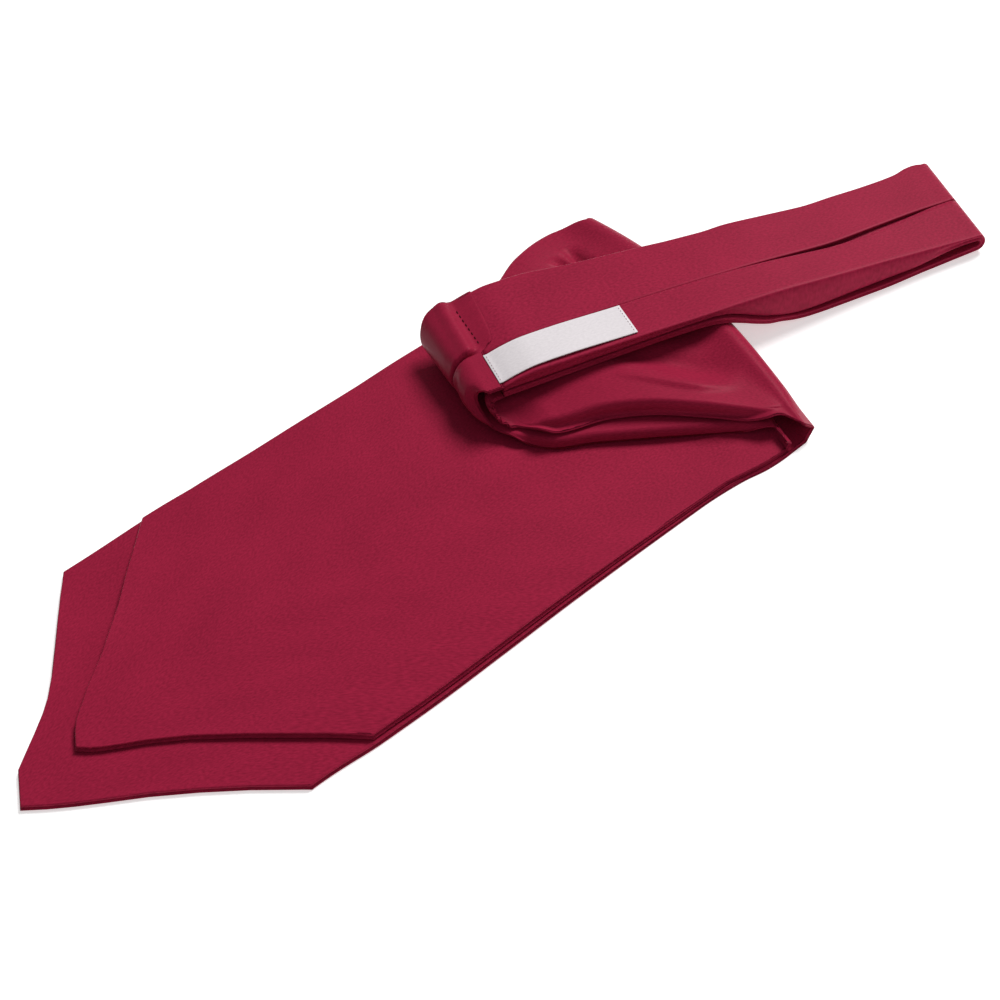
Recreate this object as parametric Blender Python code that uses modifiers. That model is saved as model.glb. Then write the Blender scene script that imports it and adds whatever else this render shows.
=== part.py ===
"""Silk cravat, folded on a table: two pointed blades, a neckband and a blank label.

Plan coordinates have their origin at the over blade's tip, +X along the blades towards the right
fold, +Y away from the viewer and +Z up from the table. The finished part is then moved, so that its
origin is the middle of its footprint.
"""

from collections import namedtuple
from math import cos, pi, radians, sin

import bmesh
import bpy
import numpy as np

MM = 0.001
CENTRE_X = 198.7 * MM
CENTRE_Y = 5.15 * MM

# Cloth walls and the gap between two layers
BLADE_WALL = 2.4 * MM
PILE_WALL = 1.0 * MM
BAND_WALL = 1.0 * MM
LABEL_WALL = 0.5 * MM
GAP = 0.3 * MM
TAPER_START_X = 140.0 * MM
TAPER_END_X = 250.0 * MM

# The far side of the under blade's point curls up from the table
LIFT_HEIGHT = 3.0 * MM
LIFT_WIDTH = 17.0 * MM

# Neckband: its direction on the table, its seam with the blades and the roll of its long edges
BAND_ANGLE = radians(-18.3)
SEAM_S = 190.0 * MM
FOLD_S = 396.0 * MM
SLANT_FROM_S = 340.0 * MM
END_SLANT = 0.09
BAND_EDGE_RADIUS = 1.25 * MM
SLIT_E = 98.5 * MM

# Label on the near half of the neckband
LABEL_LENGTH = 57.0 * MM
LABEL_NEAR_E = 77.6 * MM
LABEL_FAR_E = 95.6 * MM
LABEL_WAVE = 0.5 * MM
LABEL_ROWS = 12
LABEL_COLUMNS = 4

# Right fold: how high the roll stands at its ends and in its middle, and how far it bows out
ROLL_END_HEIGHT = 9.2 * MM
ROLL_MIDDLE_HEIGHT = 14.4 * MM
OVER_ROLL_END_HEIGHT = 5.9 * MM
OVER_ROLL_SHARE = 0.32
ROLL_BOW = 6.0 * MM
ROLL_BOW_FROM = -0.1

# Left wrap of the over blade and inner roll of the under blade
WRAP_CENTRE_S = 184.0 * MM
WRAP_TOP = 21.0 * MM
WRAP_FAR_RADIUS = 6.4 * MM
WRAP_NEAR_RADIUS = 3.4 * MM
WRAP_NEAR_E = 76.5 * MM
WRAP_FAR_E = 134.0 * MM
WRAP_WIDENS_FROM = 0.25
WRAP_WIDENS_OVER = 0.35
WRAP_STEPS = 12
SLIT_DEPTH = 2.8 * MM
SLIT_WIDTH = 4.0 * MM
INNER_TOP = 15.4 * MM
INNER_CENTRE_S = 185.5 * MM
INNER_STEPS = 8

# The under blade's near edge is tucked under by this share of its return. The over blade's edge
# hangs down and stops this far above the flat stretch.
TUCK_END = 0.04
TUCK_STATIONS = 5
EDGE_CLEARANCE = 1.3 * MM
TURN_STEP = radians(2.0)

# Shares of the flat stretch over which its rows leave the point and meet the roll
POINT_SHARE = 0.12
ROLL_SHARE = 0.15
ROW_SPREAD = 1.25

# Shares of a return over which it leaves the right roll, its near edge opens and closes, its far
# edge stops sinking and its creases rise and fade
LEAVE_SHARE = 0.08
OPEN_SHARE = 0.06
CLOSE_SHARE = 0.2
DROOP_FROM = 0.4
DROOP_SHARE = 0.4
DROOP_ACROSS = 0.28
UNDER_DROOP = 4.3 * MM
OVER_DROOP = 1.9 * MM
CREASE_RISE = 0.18
CREASE_FALL = 0.25

# Columns of points across a blade: in the near edge that is tucked under, and over the top
EDGE_COLUMNS = 10
TOP_COLUMNS = 16

# Rows of points along each stretch of a blade
FLAT_ROWS = 15
UNDER_ROLL_ROWS = 10
OVER_ROLL_ROWS = 8
UNDER_RETURN_ROWS = 18
OVER_RETURN_ROWS = 14

# Columns round the neckband's tube: in the near flap, round each long edge, and in the far parts
BAND_NEAR_COLUMNS = 5
BAND_ROUND_COLUMNS = 4
BAND_FAR_COLUMNS = 7
BAND_END_STEPS = 8
SLOPE_STEP = 5.0 * MM

SATIN = (0.29, 0.014, 0.045)
BAND_SATIN = (0.31, 0.02, 0.052)
LABEL_WHITE = (0.62, 0.57, 0.59)
SATIN_ROUGHNESS = 0.42
LABEL_ROUGHNESS = 0.5
SHARP_ANGLE = radians(40.0)

Point = namedtuple("Point", "x y")
Edge = namedtuple("Edge", "x near far")
Return = namedtuple("Return", "along near_x near_y far_x far_y height radius under")
Crease = namedtuple("Crease", "fold_across left_across height width begin end")
BandRow = namedtuple("BandRow", "s z near far gap")

UNDER_POINT = [
    Point(48.8, -72.2),
    Point(-27.0, -9.2),
    Point(-19.4, 5.4),
    Point(-0.8, 22.3),
    Point(20.4, 49.6),
    Point(39.6, 75.3),
]
OVER_POINT = [Point(75.0, -72.2), Point(0.0, 0.0), Point(75.0, 74.4)]
UNDER_FOLD = [Point(274.5, -75.0), Point(302.5, 79.5)]
OVER_FOLD = [Point(270.0, -68.0), Point(299.5, 75.5)]

# How far the long edges of the flat stretch lie from its middle line
UNDER_EDGES = [
    Edge(48.0, -72.2, 75.4),
    Edge(78.0, -73.7, 76.0),
    Edge(98.0, -73.9, 76.6),
    Edge(130.0, -73.1, 76.0),
    Edge(165.0, -72.0, 75.9),
    Edge(200.0, -71.5, 76.2),
    Edge(225.0, -71.4, 76.8),
    Edge(245.0, -72.8, 77.8),
    Edge(256.0, -75.0, 78.6),
    Edge(267.0, -76.4, 79.0),
    Edge(303.0, -76.4, 79.5),
]
OVER_EDGES = [
    Edge(75.0, -72.2, 74.4),
    Edge(100.0, -72.6, 73.6),
    Edge(130.0, -72.0, 73.2),
    Edge(165.0, -71.0, 73.2),
    Edge(200.0, -70.6, 74.6),
    Edge(235.0, -70.6, 75.0),
    Edge(270.0, -68.0, 75.5),
    Edge(303.0, -68.0, 75.5),
]

# One row for each station of a return, from the right fold (along 0) to the left end (along 1)
UNDER_RETURN = [
    Return(0.00, 274.5, -75.0, 302.5, 79.5, 9.2, 1.9, 0.4),
    Return(0.04, 271.6, -69.0, 297.0, 83.0, 10.9, 2.1, 0.4),
    Return(0.10, 266.8, -60.5, 287.0, 85.6, 11.4, 2.3, 1.0),
    Return(0.28, 254.0, -41.5, 266.0, 82.5, 14.0, 2.6, 5.0),
    Return(0.46, 241.5, -26.5, 248.0, 74.0, 15.0, 3.0, 7.0),
    Return(0.64, 226.5, -15.0, 234.0, 67.0, 14.6, 2.8, 7.0),
    Return(0.84, 209.5, -3.0, 222.0, 63.0, 13.6, 2.4, 6.0),
    Return(1.00, 198.5, 6.0, 213.0, 61.0, 12.6, 1.65, 4.0),
]
OVER_RETURN = [
    Return(0.00, 270.0, -68.0, 299.5, 75.5, 5.9, 1.6, 1.0),
    Return(0.10, 261.0, -59.0, 283.0, 79.5, 6.3, 1.6, 1.0),
    Return(0.28, 245.5, -48.0, 262.0, 77.5, 7.4, 1.8, 1.0),
    Return(0.46, 230.0, -34.0, 245.0, 70.0, 7.8, 1.8, 1.0),
    Return(0.64, 215.5, -22.0, 230.0, 64.0, 7.8, 1.8, 1.0),
    Return(0.84, 202.5, -10.0, 217.0, 62.0, 7.8, 1.8, 1.0),
    Return(1.00, 196.0, 8.0, 209.0, 62.0, 7.8, 1.8, 1.0),
]

# Soft troughs and ridges along the upper return: place across it at each end, height and width
UNDER_CREASES = [
    Crease(0.16, 0.30, -3.4, 0.075, 0.02, 0.85),
    Crease(0.52, 0.60, -0.9, 0.22, 0.05, 1.30),
    Crease(0.86, 0.80, -1.8, 0.05, 0.05, 0.60),
]

# One row for each station of the neckband, from the lower layer's seam out to its folded end
LOWER_BAND = [
    BandRow(190.0, 15.4, 76.5, 130.5, 0.4),
    BandRow(225.0, 15.3, 76.5, 130.5, 0.4),
    BandRow(250.0, 15.2, 76.5, 129.5, 0.4),
    BandRow(268.0, 15.1, 76.0, 128.5, 0.4),
    BandRow(276.0, 14.8, 75.5, 128.0, 0.4),
    BandRow(282.0, 13.6, 75.0, 128.0, 0.4),
    BandRow(288.0, 11.2, 74.8, 128.0, 0.4),
    BandRow(294.0, 8.1, 75.0, 128.0, 0.4),
    BandRow(300.0, 5.2, 75.6, 128.0, 0.4),
    BandRow(306.0, 3.0, 76.8, 128.0, 0.4),
    BandRow(312.0, 1.3, 77.0, 128.0, 0.4),
    BandRow(319.0, 0.3, 77.2, 128.0, 0.5),
    BandRow(328.0, 0.0, 77.3, 128.0, 0.6),
    BandRow(350.0, 0.0, 77.5, 129.5, 0.8),
    BandRow(375.0, 0.0, 79.0, 132.5, 0.8),
    BandRow(387.0, 0.3, 79.3, 135.0, 0.8),
    BandRow(396.0, 1.0, 79.0, 136.0, 0.8),
]
UPPER_BAND = [
    BandRow(396.0, 8.4, 79.0, 136.5, 0.8),
    BandRow(385.0, 9.0, 79.3, 135.0, 1.6),
    BandRow(364.0, 11.0, 79.0, 131.0, 3.0),
    BandRow(340.0, 13.8, 78.0, 128.5, 2.8),
    BandRow(315.0, 17.0, 77.0, 127.5, 1.4),
    BandRow(292.0, 19.3, 76.5, 127.8, 0.6),
    BandRow(269.0, 20.8, 76.3, 128.5, 0.4),
    BandRow(240.0, 22.0, 76.3, 131.5, 0.4),
    BandRow(215.0, 22.6, 76.3, 135.0, 0.4),
    BandRow(200.0, 22.3, 76.3, 135.0, 0.4),
    BandRow(190.0, 22.2, 76.5, 134.0, 0.4),
]


def clear_scene():
    """Removes every object that the scene starts with."""
    for obj in list(bpy.data.objects):
        bpy.data.objects.remove(obj, do_unlink=True)


def smooth(value):
    """A rise from 0 to 1 that starts and ends level."""
    value = min(max(value, 0.0), 1.0)
    return value * value * (3.0 - 2.0 * value)


def along_rows(rows, at, name, place):
    """A named column of a table, read between its rows at a place along it, in metres."""
    ordered = sorted(rows, key=lambda row: getattr(row, at))
    places = [getattr(row, at) for row in ordered]
    values = [getattr(row, name) for row in ordered]
    return float(np.interp(place, places, values)) * MM


def spaced(start, end, count):
    """Evenly spaced places from a start, stopping one short of the end."""
    return [start + (end - start) * i / count for i in range(count)]


def wall_at(x):
    """The blades' wall: full at the points, pressed thin from the right fold on."""
    rise = smooth((x - TAPER_START_X) / (TAPER_END_X - TAPER_START_X))
    return BLADE_WALL + (PILE_WALL - BLADE_WALL) * rise


def margin(radius, under, turn):
    """Places across and depths of the columns that turn under the near edge by an angle."""
    whole = pi * radius + under
    lengths = [whole * (1.0 - i / EDGE_COLUMNS) for i in range(EDGE_COLUMNS)]
    start = whole + (radius - whole) * turn / pi
    places = []
    for length in lengths:
        bend = min(length / radius, turn)
        rest = length - radius * bend
        out = radius * sin(bend) + rest * cos(bend)
        depth = radius * (1.0 - cos(bend)) + rest * sin(bend)
        places.append((start - out, depth))
    return places, start


def turn_onto(radius, under, drop):
    """The angle at which the near edge hangs down by a drop, and so rests on the layer below."""
    turn = 0.0
    while turn < pi / 2 and max(depth for _, depth in margin(radius, under, turn)[0]) < drop:
        turn += TURN_STEP
    return turn


def across_places(width, radius, under, turn):
    """Every column of a station: its place from the near edge and its depth below the top skin."""
    places, start = margin(radius, under, turn)
    for i in range(TOP_COLUMNS):
        places.append((start + (width - start) * i / (TOP_COLUMNS - 1), 0.0))
    return places


def fold_height(across):
    """The top skin of the right roll, pinched at its two ends."""
    return ROLL_END_HEIGHT + (ROLL_MIDDLE_HEIGHT - ROLL_END_HEIGHT) * sin(pi * min(max(across, 0), 1))


def roll_bow(across):
    """How far the right roll bends away from a straight line between its ends."""
    return ROLL_BOW * sin(pi * min(max(across, 0.0), 1.0)) * (across - ROLL_BOW_FROM)


def over_height(height):
    """The over blade's top skin under the under blade's, in the right roll."""
    return OVER_ROLL_END_HEIGHT + (height - ROLL_END_HEIGHT) * OVER_ROLL_SHARE


class Blade:
    """A pointed blade: flat stretch, right roll and return, as a grid of stations and columns."""

    def __init__(self, point, edges, fold, rows, creases, over):
        self.point = [(p.x * MM, p.y * MM) for p in point]
        self.edges = edges
        self.fold = [(p.x * MM, p.y * MM) for p in fold]
        self.rows = rows
        self.creases = creases
        self.over = over

    def floor_at(self, x):
        """The lower skin of the flat stretch."""
        return wall_at(x) + GAP if self.over else 0.0

    def top_of_roll(self, across):
        height = fold_height(across)
        return over_height(height) if self.over else height

    def point_edge(self, across):
        """A place on the pointed end, by the fraction of the width from the near shoulder."""
        near, far = self.point[0][1], self.point[-1][1]
        y = near + (far - near) * across
        ys = [p[1] for p in self.point]
        xs = [p[0] for p in self.point]
        return float(np.interp(y, ys, xs)), y

    def fold_edge(self, across):
        """A place on the axis of the right roll."""
        (near_x, near_y), (far_x, far_y) = self.fold
        bow = roll_bow(across)
        return near_x + (far_x - near_x) * across + bow, near_y + (far_y - near_y) * across

    def flat_columns(self):
        """Fractions of the width, with a column on each corner of the point."""
        count = EDGE_COLUMNS + TOP_COLUMNS
        fractions = [i / (count - 1) for i in range(count)]
        near, far = self.point[0][1], self.point[-1][1]
        for corner in self.point[1:-1]:
            place = (corner[1] - near) / (far - near)
            nearest = min(range(count), key=lambda i: abs(fractions[i] - place))
            fractions[nearest] = place
        return fractions

    def roll_columns(self):
        """Fractions of the width at the right roll, where the near edge is still flat."""
        (near_x, near_y), (far_x, far_y) = self.fold
        width = ((far_x - near_x) ** 2 + (far_y - near_y) ** 2) ** 0.5
        row = self.rows[0]
        return [place / width for place, _ in across_places(width, row.radius * MM, row.under * MM, 0.0)]

    def flat_station(self, share):
        """Lower skin of the flat stretch, from the point (0) to the roll (1)."""
        columns = self.flat_columns()
        rolled = self.roll_columns()
        points = []
        for fraction, rolled_fraction in zip(columns, rolled):
            start_x, start_y = self.point_edge(fraction)
            end_x, end_y = self.fold_edge(rolled_fraction)
            across = fraction + (rolled_fraction - fraction) * smooth(share)
            x = start_x + (end_x - start_x) * share
            near = along_rows(self.edges, "x", "near", x / MM)
            far = along_rows(self.edges, "x", "far", x / MM)
            y = start_y + (near + (far - near) * across - start_y) * smooth(share / POINT_SHARE)
            y += (end_y - y) * smooth((share - 1.0 + ROLL_SHARE) / ROLL_SHARE)
            points.append((x, y, self.floor_at(x) + self.lift(x, y)))
        return points

    def lift(self, x, y):
        """The far side of the under blade's point stands a little off the table."""
        if self.over:
            return 0.0
        (tip_x, tip_y), (end_x, end_y) = self.point[2], self.point[-1]
        length = ((end_x - tip_x) ** 2 + (end_y - tip_y) ** 2) ** 0.5
        along = ((x - tip_x) * (end_x - tip_x) + (y - tip_y) * (end_y - tip_y)) / length
        inside = ((x - tip_x) * (end_y - tip_y) - (y - tip_y) * (end_x - tip_x)) / length
        if not 0.0 < along < length:
            return 0.0
        fade = max(0.0, 1.0 - inside / LIFT_WIDTH)
        return LIFT_HEIGHT * sin(pi * along / length) ** 2 * fade * fade

    def roll_station(self, turn):
        """Outer skin of the right roll at an angle from 0 (underneath) to pi (on top)."""
        points = []
        for across in self.roll_columns():
            x, y = self.fold_edge(across)
            low = self.floor_at(x)
            radius = (self.top_of_roll(across) - low) / 2.0
            points.append((x + radius * sin(turn), y, low + radius - radius * cos(turn)))
        return points

    def return_station(self, along):
        """Top skin of the return, from the right roll (0) to the left end (1)."""
        ends = ("near_x", "near_y", "far_x", "far_y")
        near_x, near_y, far_x, far_y = (along_rows(self.rows, "along", name, along) for name in ends)
        radius = along_rows(self.rows, "along", "radius", along)
        under = along_rows(self.rows, "along", "under", along)
        level = along_rows(self.rows, "along", "height", along)
        width = ((far_x - near_x) ** 2 + (far_y - near_y) ** 2) ** 0.5
        leave = smooth(along / LEAVE_SHARE)
        points = []
        turn = self.near_turn(along, near_x, radius, under, level)
        for place, depth in across_places(width, radius, under, turn):
            across = place / width
            bow = roll_bow(across) * (1.0 - leave)
            droop = self.far_droop(along) * smooth((across - 1.0 + DROOP_ACROSS) / DROOP_ACROSS)
            height = self.top_of_roll(across) * (1.0 - leave) + (level - droop) * leave
            if depth == 0.0:
                height += self.crease_height(along, across)
            x = near_x + (far_x - near_x) * across + bow
            points.append((x, near_y + (far_y - near_y) * across, height - depth))
        return points

    def near_turn(self, along, near_x, radius, under, level):
        """The angle by which the near edge is turned under."""
        if self.over:
            room = level - self.floor_at(near_x) - wall_at(near_x) - EDGE_CLEARANCE
            opened = smooth(along / OPEN_SHARE) * smooth((1.0 - along) / CLOSE_SHARE)
            return turn_onto(radius, under, room) * opened
        return pi * smooth(along / TUCK_END)

    def far_droop(self, along):
        """How far the return sinks at its far edge."""
        droop = OVER_DROOP if self.over else UNDER_DROOP
        return droop * (1.0 - smooth((along - DROOP_FROM) / DROOP_SHARE))

    def crease_height(self, along, across):
        """Soft troughs and ridges that run along the return."""
        total = 0.0
        for crease in self.creases:
            middle = crease.fold_across + (crease.left_across - crease.fold_across) * along
            rise = smooth((along - crease.begin) / CREASE_RISE) * smooth((crease.end - along) / CREASE_FALL)
            total += crease.height * MM * rise * float(np.exp(-(((across - middle) / crease.width) ** 2)))
        return total


def band_point(s, e, z):
    """A place given along the neckband, across it and up, in plan coordinates."""
    middle = (WRAP_NEAR_E + WRAP_FAR_E) / 2.0
    s += END_SLANT * (e - middle) * smooth((s - SLANT_FROM_S) / (FOLD_S - SLANT_FROM_S))
    x = s * cos(BAND_ANGLE) - e * sin(BAND_ANGLE)
    y = s * sin(BAND_ANGLE) + e * cos(BAND_ANGLE)
    return x, y, z


def band_place(point):
    """Places along, across and up for a plan point, true short of where the folded end slants."""
    x, y, z = point
    s = x * cos(BAND_ANGLE) + y * sin(BAND_ANGLE)
    e = -x * sin(BAND_ANGLE) + y * cos(BAND_ANGLE)
    return s, e, z


def wrap_e(across):
    """A place across the top of the wrap, from its near edge (0) to its far edge (1)."""
    return WRAP_NEAR_E + (WRAP_FAR_E - WRAP_NEAR_E) * across


def wrap_groove(e):
    """Depth of the wrap's groove in line with the neckband's slit."""
    return SLIT_DEPTH * float(np.exp(-(((e - SLIT_E) / SLIT_WIDTH) ** 2)))


def wrap_stations(last):
    """Inner skin of the over blade's wrap round the pile's left end, up to the seam on top."""
    places = [band_place(point) for point in last]
    top = places[-1][2]
    count = len(places)
    stations = []
    for step in range(1, WRAP_STEPS + 1):
        turn = pi * step / WRAP_STEPS
        blend = smooth(step / WRAP_STEPS)
        points = []
        for i, (s, e, z) in enumerate(places):
            across = i / (count - 1)
            top_e = wrap_e(across)
            groove = wrap_groove(top_e) * blend
            wide = smooth((across - WRAP_WIDENS_FROM) / WRAP_WIDENS_OVER)
            reach = WRAP_NEAR_RADIUS + (WRAP_FAR_RADIUS - WRAP_NEAR_RADIUS) * wide
            reach += max(0.0, top - z) * (1.0 - smooth(2.0 * step / WRAP_STEPS))
            centre = s + (WRAP_CENTRE_S - s) * blend
            radius = (WRAP_TOP - groove - z) / 2.0
            place_s = centre - (reach - groove) * sin(turn)
            points.append(band_point(place_s, e + (top_e - e) * blend, z + radius * (1.0 - cos(turn))))
        stations.append(points)
    seam_places = [wrap_e(i / (count - 1)) for i in range(count)]
    stations.append([band_point(SEAM_S - GAP, e, WRAP_TOP - wrap_groove(e)) for e in seam_places])
    return stations


def inner_stations(last):
    """Inner skin of the under blade's roll inside the wrap, up to its seam with the neckband."""
    places = [band_place(point) for point in last]
    top = places[-1][2]
    inner = (INNER_TOP - top) / 2.0
    shift = (WRAP_NEAR_E - places[0][1]) / 2.0
    stations = []
    for step in range(1, INNER_STEPS + 1):
        turn = pi * step / INNER_STEPS
        blend = smooth(step / INNER_STEPS)
        points = []
        for s, e, z in places:
            radius = inner + top - z
            place_s = s + (INNER_CENTRE_S - s) * blend - radius * sin(turn)
            points.append(band_point(place_s, e + shift * blend, top + inner - radius * cos(turn)))
        stations.append(points)
    seam = [band_place(point) for point in stations[-1]]
    stations.append([band_point(SEAM_S - GAP, e, z) for s, e, z in seam])
    return stations


def return_rows(count):
    """Places along a return, close together where the near edge is tucked under."""
    return spaced(0.0, TUCK_END, TUCK_STATIONS) + spaced(TUCK_END, 1.0, count) + [1.0]


def blade_stations(blade, roll_rows, return_places):
    """All stations of a blade from its point to the left end of its return."""
    stations = [blade.flat_station((i / FLAT_ROWS) ** ROW_SPREAD) for i in range(FLAT_ROWS)]
    stations += [blade.roll_station(turn) for turn in spaced(0.0, pi, roll_rows)]
    stations += [blade.return_station(along) for along in return_places]
    return stations


def sheet_object(name, stations, wall, side, colour, roughness):
    """A grid moved to its stations, given its wall on one side of them by a Solidify modifier."""
    rows, columns = len(stations), len(stations[0])
    mesh = bpy.data.meshes.new(name)
    bm = bmesh.new()
    bmesh.ops.create_grid(bm, x_segments=rows - 1, y_segments=columns - 1, size=1.0)
    walls = []
    for vert in bm.verts:
        row = round((vert.co.x + 1.0) / 2.0 * (rows - 1))
        col = round((vert.co.y + 1.0) / 2.0 * (columns - 1))
        vert.co = stations[row][col]
        walls.append(wall(row, vert.co.x))
    for vert in bm.verts:
        vert.co.x -= CENTRE_X
        vert.co.y -= CENTRE_Y
    bm.to_mesh(mesh)
    bm.free()
    obj = bpy.data.objects.new(name, mesh)
    bpy.data.collections["silk_cravat"].objects.link(obj)
    thickest = max(walls)
    group = obj.vertex_groups.new(name="wall")
    for index, value in enumerate(walls):
        group.add([index], value / thickest, "REPLACE")
    solidify = obj.modifiers.new("cloth wall", "SOLIDIFY")
    solidify.thickness = thickest
    solidify.offset = side
    solidify.vertex_group = "wall"
    solidify.use_even_offset = False
    mesh.materials.append(satin(name + "_cloth", colour, roughness))
    for polygon in mesh.polygons:
        polygon.use_smooth = True
    mesh.set_sharp_from_angle(angle=SHARP_ANGLE)


def satin(name, colour, roughness):
    """A plain cloth material."""
    material = bpy.data.materials.new(name)
    material.use_nodes = True
    shader = material.node_tree.nodes["Principled BSDF"]
    shader.inputs["Base Color"].default_value = (*colour, 1.0)
    shader.inputs["Roughness"].default_value = roughness
    shader.inputs["Metallic"].default_value = 0.0
    return material


def blade_wall(row, x):
    """The wall of a blade: tapered along the flat stretch, thin from the right roll on."""
    return wall_at(x) if row < FLAT_ROWS else PILE_WALL


def build_under_blade():
    """The under blade: point, flat stretch, outer right roll, upper return and inner left roll."""
    blade = Blade(UNDER_POINT, UNDER_EDGES, UNDER_FOLD, UNDER_RETURN, UNDER_CREASES, over=False)
    stations = blade_stations(blade, UNDER_ROLL_ROWS, return_rows(UNDER_RETURN_ROWS))
    stations += inner_stations(stations[-1])
    sheet_object("under_blade", stations, blade_wall, 1.0, SATIN, SATIN_ROUGHNESS)


def build_over_blade():
    """The over blade: point, flat stretch, inner right roll, lower return and left wrap."""
    blade = Blade(OVER_POINT, OVER_EDGES, OVER_FOLD, OVER_RETURN, [], over=True)
    stations = blade_stations(blade, OVER_ROLL_ROWS, return_rows(OVER_RETURN_ROWS))
    stations += wrap_stations(stations[-1])
    sheet_object("over_blade", stations, blade_wall, 1.0, SATIN, SATIN_ROUGHNESS)


def band_section(near, far, gap):
    """Places across the neckband and depths below its slit side, round the folded-in tube."""
    r = BAND_EDGE_RADIUS
    near_lip, far_lip = SLIT_E - gap / 2.0, SLIT_E + gap / 2.0
    turns = spaced(0.0, pi, BAND_ROUND_COLUMNS)
    places = [(e, 0.0) for e in spaced(near_lip, near + r, BAND_NEAR_COLUMNS)]
    places += [(near + r - r * sin(turn), r - r * cos(turn)) for turn in turns]
    places += [(e, 2.0 * r) for e in spaced(near + r, far - r, BAND_FAR_COLUMNS)]
    places += [(far - r + r * sin(turn), r + r * cos(turn)) for turn in turns]
    places += [(e, 0.0) for e in spaced(far - r, far_lip, BAND_FAR_COLUMNS)]
    places.append((far_lip, 0.0))
    return places


def band_slope(rows, s):
    """Rise of a layer of the neckband for each unit along it."""
    ahead = along_rows(rows, "s", "z", (s + SLOPE_STEP) / MM)
    behind = along_rows(rows, "s", "z", (s - SLOPE_STEP) / MM)
    return (ahead - behind) / (2.0 * SLOPE_STEP)


def band_station(rows, s, side):
    """One station of a layer: side is -1 for the lower layer and 1 for the upper one."""
    near, far, gap, z = (along_rows(rows, "s", name, s / MM) for name in ("near", "far", "gap", "z"))
    slope = band_slope(rows, s)
    length = (1.0 + slope * slope) ** 0.5
    points = []
    for e, depth in band_section(near, far, gap):
        points.append(band_point(s + side * depth * slope / length, e, z - side * depth / length))
    return points


def end_station(share):
    """One station of the neckband's folded end, from the lower layer (0) to the upper one (1)."""
    low, high = LOWER_BAND[-1], UPPER_BAND[0]
    radius = (high.z - low.z) * MM / 2.0
    turn = pi * share
    near = (low.near + (high.near - low.near) * share) * MM
    far = (low.far + (high.far - low.far) * share) * MM
    points = []
    for e, depth in band_section(near, far, low.gap * MM):
        reach = radius - depth
        points.append(band_point(FOLD_S + reach * sin(turn), e, low.z * MM + radius - reach * cos(turn)))
    return points


def band_stations():
    """The neckband's slit-side skin, from its lower seam round the folded end to its upper seam."""
    stations = [band_station(LOWER_BAND, row.s * MM, -1) for row in LOWER_BAND]
    stations += [end_station(step / BAND_END_STEPS) for step in range(1, BAND_END_STEPS)]
    stations += [band_station(UPPER_BAND, row.s * MM, 1) for row in UPPER_BAND]
    return stations


def build_neckband():
    """The neckband: a folded-in tube from one blade to the other, folded back at its middle."""
    sheet_object("neckband", band_stations(), lambda row, x: BAND_WALL, -1.0, BAND_SATIN, SATIN_ROUGHNESS)


def label_station(share):
    """One row of the label's lower skin, across the neckband."""
    s = SEAM_S + LABEL_LENGTH * share
    z = along_rows(UPPER_BAND, "s", "z", s / MM) + GAP + LABEL_WAVE * sin(pi * share) ** 2
    places = spaced(LABEL_NEAR_E, LABEL_FAR_E, LABEL_COLUMNS) + [LABEL_FAR_E]
    return [band_point(s, e, z) for e in places]


def build_label():
    """The label follows the neckband's upper skin, moved out by the gap."""
    stations = [label_station(i / LABEL_ROWS) for i in range(LABEL_ROWS + 1)]
    sheet_object("label", stations, lambda row, x: LABEL_WALL, 1.0, LABEL_WHITE, LABEL_ROUGHNESS)


def main():
    clear_scene()
    collection = bpy.data.collections.new("silk_cravat")
    bpy.context.scene.collection.children.link(collection)
    build_under_blade()
    build_over_blade()
    build_neckband()
    build_label()


if __name__ == "__main__":
    main()
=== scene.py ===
"""Looks of the folded silk cravat: satin blades, neckband, blank label, stitches, floor, lights and camera.

Plan coordinates have their origin at the over blade's tip, +X along the blades towards the right
fold, +Y away from the viewer and +Z up from the table. Every piece is then moved by the plan's centre.
"""

from collections import namedtuple
from math import acos, cos, exp, pi, radians, sin

import bmesh
import bpy
import numpy as np
from bpy.props import FloatProperty, FloatVectorProperty, IntProperty, PointerProperty
from mathutils import Matrix, Vector


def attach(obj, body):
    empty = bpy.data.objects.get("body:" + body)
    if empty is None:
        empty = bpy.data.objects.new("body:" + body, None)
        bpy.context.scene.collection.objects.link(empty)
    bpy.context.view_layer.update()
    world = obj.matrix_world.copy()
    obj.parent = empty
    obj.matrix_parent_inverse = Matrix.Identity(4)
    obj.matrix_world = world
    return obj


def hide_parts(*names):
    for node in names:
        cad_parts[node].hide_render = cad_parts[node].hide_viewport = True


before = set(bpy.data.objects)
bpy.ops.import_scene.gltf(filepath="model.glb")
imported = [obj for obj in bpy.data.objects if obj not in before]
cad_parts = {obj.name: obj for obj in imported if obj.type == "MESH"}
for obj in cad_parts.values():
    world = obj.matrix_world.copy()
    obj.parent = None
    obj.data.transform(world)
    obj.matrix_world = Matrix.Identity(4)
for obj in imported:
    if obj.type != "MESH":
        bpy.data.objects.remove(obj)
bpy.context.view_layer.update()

bl_info = {
    "name": "Silk cravat",
    "version": (1, 0, 0),
    "blender": (4, 5, 0),
    "location": "3D View > Sidebar > Cravat",
    "description": "Dresses the folded silk cravat in satin, with its label, stitches and a light stage",
    "category": "Object",
}

MM = 0.001
CENTRE_X = 198.7 * MM
CENTRE_Y = 5.15 * MM

Point = namedtuple("Point", "x y")
Edge = namedtuple("Edge", "x near far")
Return = namedtuple("Return", "along near_x near_y far_x far_y height")
Wrap = namedtuple("Wrap", "across reach pull lap")
Hem = namedtuple("Hem", "radius back tail")
Crease = namedtuple("Crease", "height left right line")
Swell = namedtuple("Swell", "x y along across height turn")
BandRow = namedtuple("BandRow", "s z near far gap")
Ridge = namedtuple("Ridge", "s width height")

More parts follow.
